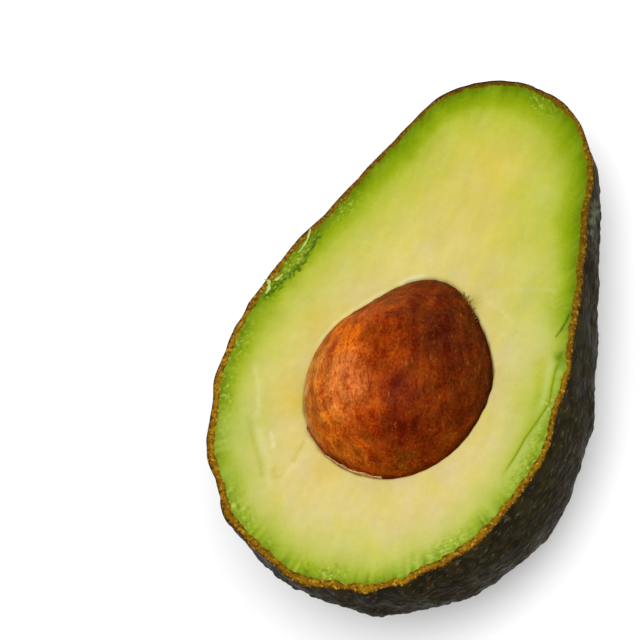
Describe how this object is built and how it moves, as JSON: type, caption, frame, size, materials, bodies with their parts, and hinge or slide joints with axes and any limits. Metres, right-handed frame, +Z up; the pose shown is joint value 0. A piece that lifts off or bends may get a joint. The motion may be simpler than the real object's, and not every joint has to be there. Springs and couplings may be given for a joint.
{
  "type": "halved avocado with pit",
  "caption": "Halved ripe avocado lying on its back, cut face up, with pebbled dark skin, flat green-to-cream flesh and the whole pit standing proud in its hollow.",
  "frame": {"origin": "middle of the flat spot on the underside that the half rests on", "axes": "+Z up, +Y towards the narrow neck end, +X to the side; the cut face leans 14 degrees towards the neck"},
  "size_m": [0.0725, 0.1045, 0.0579],
  "materials": {
    "skin": "pebbled dark rind, waxy gloss on the pebbles",
    "flesh": "moist cut flesh, cream at the pit and green at the rind",
    "pit": "satin seed coat, mottled red-brown"
  },
  "bodies": {
    "root": {"skin": "skin", "flesh": "flesh", "pit": "pit"}
  },
  "joints": []
}
